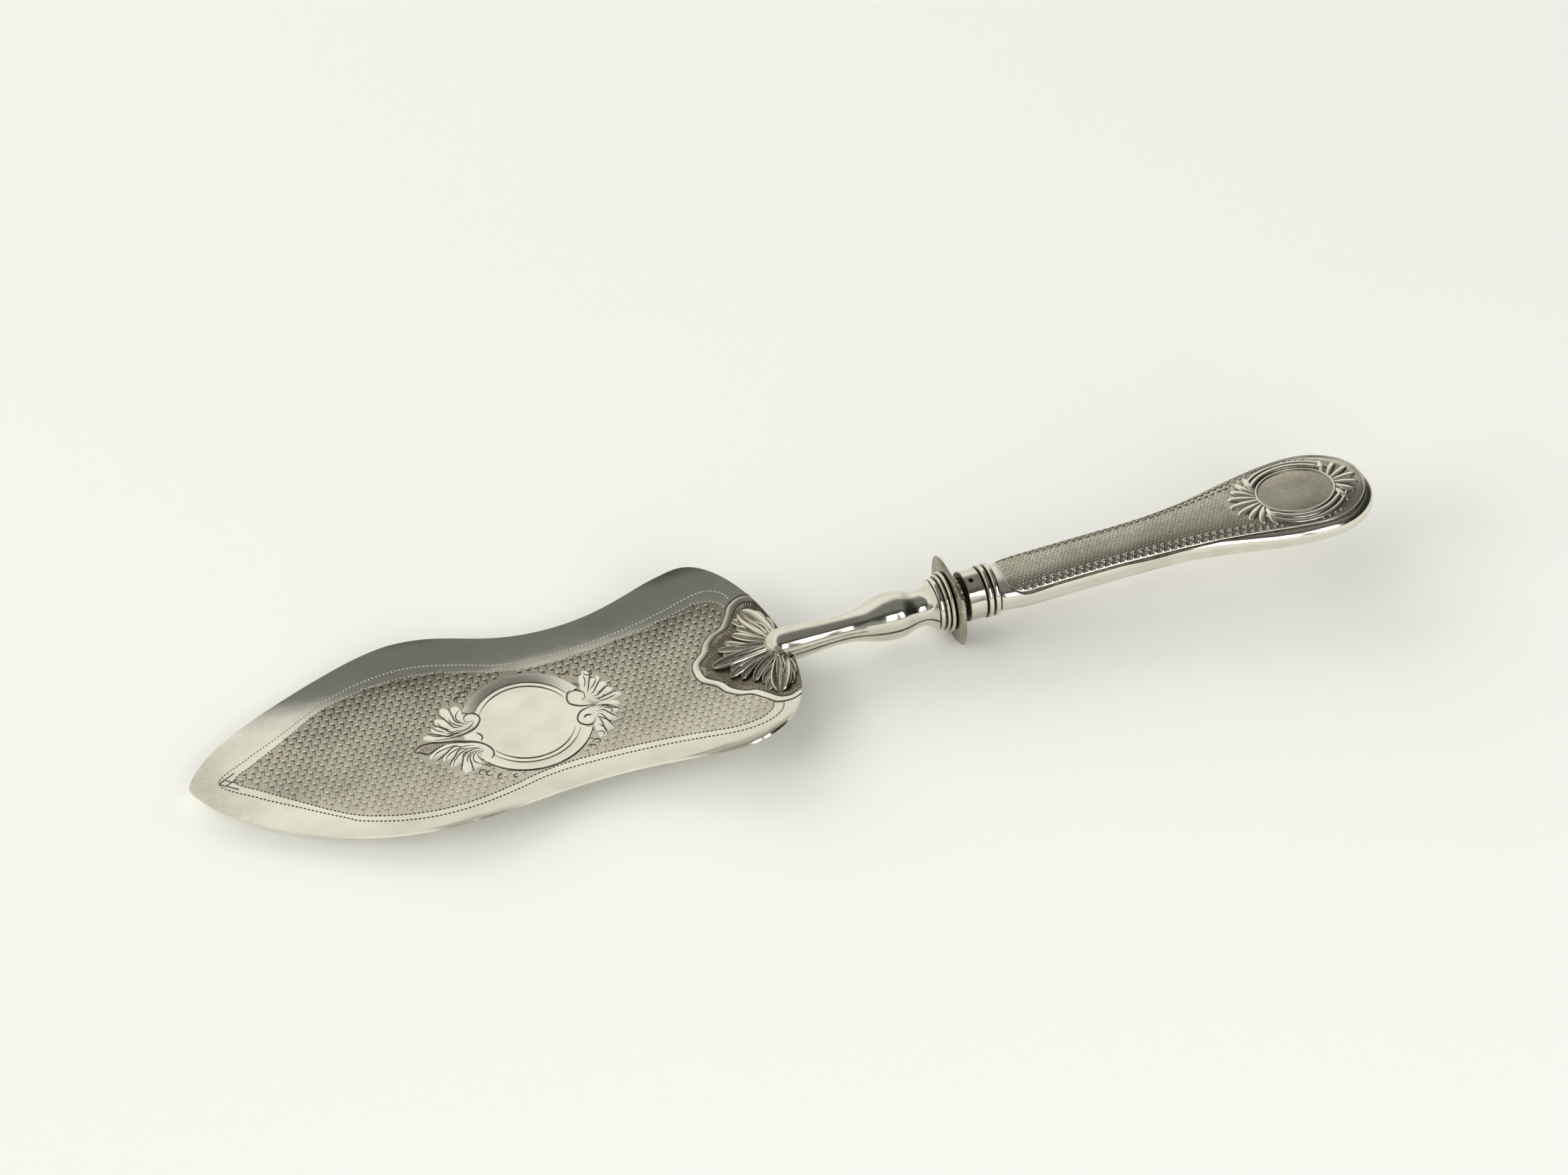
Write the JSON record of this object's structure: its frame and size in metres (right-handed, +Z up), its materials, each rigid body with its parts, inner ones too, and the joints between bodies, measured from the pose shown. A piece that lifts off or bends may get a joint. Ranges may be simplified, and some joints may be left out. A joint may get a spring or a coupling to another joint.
{
  "type": "fish slice",
  "caption": "Silver fish slice with a dished, engraved trowel-shaped blade, cast leaf mount, baluster stem, square guard plate and filled fiddle-shaped handle.",
  "frame": {"origin": "middle of the length and width, on the table under the slice", "axes": "+X from the blade's tip to the handle's butt, +Z up as it lies on a table, +Y across the blade"},
  "size_m": [0.2904, 0.0644, 0.0196],
  "materials": {
    "polished_silver": "polished silver, darker in the engraving",
    "cast_silver": "cast and chased silver, dark in the recesses",
    "steel": "plain forged steel, out of sight",
    "pitch": "pitch cement, out of sight"
  },
  "bodies": {
    "root": {"blade": "polished_silver", "leaf_mount": "cast_silver", "stem_upper": "polished_silver", "stem_lower": "polished_silver", "stem_flange": "polished_silver", "guard_plate": "polished_silver", "rear_collar": "cast_silver", "ferrule_sleeve": "polished_silver", "ferrule_ring_front": "polished_silver", "ferrule_ring_rear": "polished_silver", "handle_upper_shell": "polished_silver", "handle_lower_shell": "polished_silver", "handle_filler": "pitch", "tang": "steel"}
  },
  "joints": []
}
